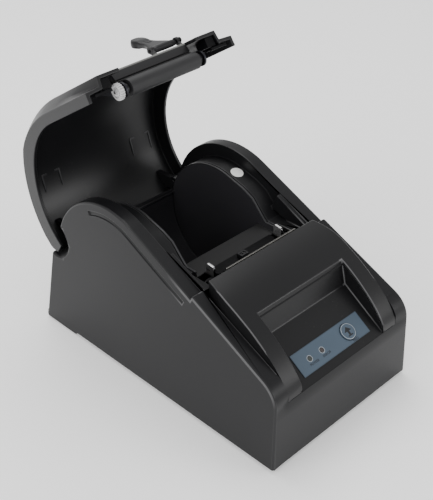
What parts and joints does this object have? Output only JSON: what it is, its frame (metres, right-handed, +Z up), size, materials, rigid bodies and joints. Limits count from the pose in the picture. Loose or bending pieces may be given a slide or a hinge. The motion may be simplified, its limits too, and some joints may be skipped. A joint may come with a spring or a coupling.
{
  "type": "receipt printer",
  "caption": "Black desktop thermal receipt printer for narrow rolls, hinged lid standing open over an empty roll bay, with a label panel, a feed button and a release lever",
  "frame": {"origin": "on the surface it stands on, under the middle of its length and width with the lid open", "axes": "+X to the printer's right seen from the front, +Y to the rear, +Z up"},
  "size_m": [0.118, 0.2161, 0.1861],
  "materials": {
    "case_black": "fine grain moulded ABS",
    "lid_black": "fine grain moulded ABS",
    "cover_black": "fine grain moulded ABS",
    "base_black": "plain moulded ABS",
    "bay_black": "smooth moulded ABS",
    "label_blue": "printed film",
    "lamp_green": "clear lens",
    "lamp_red": "clear lens",
    "button_blue": "printed film over a cap",
    "board_green": "solder mask",
    "steel_bright": "bright stamped steel",
    "steel_plate": "zinc plated sheet",
    "head_dark": "dark heat sink with a glazed strip",
    "spring_steel": "drawn wire",
    "cable_cream": "flat cable",
    "motor_can": "drawn can",
    "gear_white": "white acetal",
    "steel_pin": "turned steel",
    "sensor_black": "moulded",
    "socket_black": "moulded",
    "steel_shell": "tinned shell",
    "switch_black": "moulded",
    "rocker_black": "moulded",
    "rubber_foot": "soft rubber",
    "screw_steel": "zinc plated",
    "sticker_white": "blank paper dot",
    "bar_black": "moulded ABS",
    "arm_black": "moulded ABS",
    "bearing_dark": "sintered bush",
    "lever_black": "moulded ABS",
    "shaft_steel": "ground steel",
    "rubber_platen": "ground rubber"
  },
  "bodies": {
    "case": {"bottom_plate": "base_black", "main_housing": "case_black", "front_cover": "cover_black", "roll_bay": "bay_black", "panel_label": "label_blue", "power_lamp": "lamp_green", "error_lamp": "lamp_red", "button_board": "board_green", "tear_bar": "steel_bright", "mechanism_frame": "steel_plate", "print_head": "head_dark", "head_springs": "spring_steel", "head_cable": "cable_cream", "feed_motor": "motor_can", "gear_pin": "steel_pin", "paper_sensor": "sensor_black", "main_board": "board_green", "power_jack": "socket_black", "usb_port": "steel_shell", "drawer_port": "socket_black", "switch_body": "switch_black", "rubber_feet": "rubber_foot", "base_screws": "screw_steel", "frame_screws": "screw_steel", "hinge_pins": "steel_pin", "inspection_sticker": "sticker_white"},
    "button": {"feed_button": "button_blue"},
    "rocker": {"power_switch": "rocker_black"},
    "idler": {"idler_gear": "gear_white"},
    "pinion": {"motor_pinion": "gear_white"},
    "lid": {"lid_shell": "lid_black", "exit_bar": "bar_black", "hinge_arms": "arm_black", "platen_bracket": "steel_plate", "platen_bearings": "bearing_dark", "lid_screws": "screw_steel", "lever_pin": "steel_pin", "lever_spring": "spring_steel"},
    "lever": {"release_lever": "lever_black"},
    "platen": {"platen_shaft": "shaft_steel", "platen_rubber": "rubber_platen", "platen_gear": "gear_white"}
  },
  "joints": [
    {"name": "lid_hinge", "type": "hinge", "parent": "case", "child": "lid", "pos_m": [0, 0.07644, 0.0676], "axis": [1, 0, 0], "range_deg": [0, 58]},
    {"name": "platen_spin", "type": "hinge", "parent": "lid", "child": "platen", "pos_m": [0, 0.03318, 0.17382], "axis": [1, 0, 0], "continuous": true},
    {"name": "lever_pivot", "type": "hinge", "parent": "lid", "child": "lever", "pos_m": [0, 0.05089, 0.18042], "axis": [1, 0, 0], "range_deg": [-15, 0], "stiffness_Nm_per_rad": 0.05},
    {"name": "button_press", "type": "slide", "parent": "case", "child": "button", "axis": [0, 0.5707, -0.8211], "range_m": [0, 0.0008], "stiffness_N_per_m": 300},
    {"name": "rocker_tilt", "type": "hinge", "parent": "case", "child": "rocker", "pos_m": [0.034, 0.08887, 0.03178], "axis": [1, 0, 0], "range_deg": [-18, 0]},
    {"name": "idler_spin", "type": "hinge", "parent": "case", "child": "idler", "pos_m": [0, -0.03844, 0.07656], "axis": [1, 0, 0], "continuous": true},
    {"name": "pinion_spin", "type": "hinge", "parent": "case", "child": "pinion", "pos_m": [0, -0.03611, 0.06787], "axis": [1, 0, 0], "continuous": true}
  ],
  "couplings": [
    {"joint": "pinion_spin", "follows": "idler_spin", "ratio": -2.3333}
  ]
}
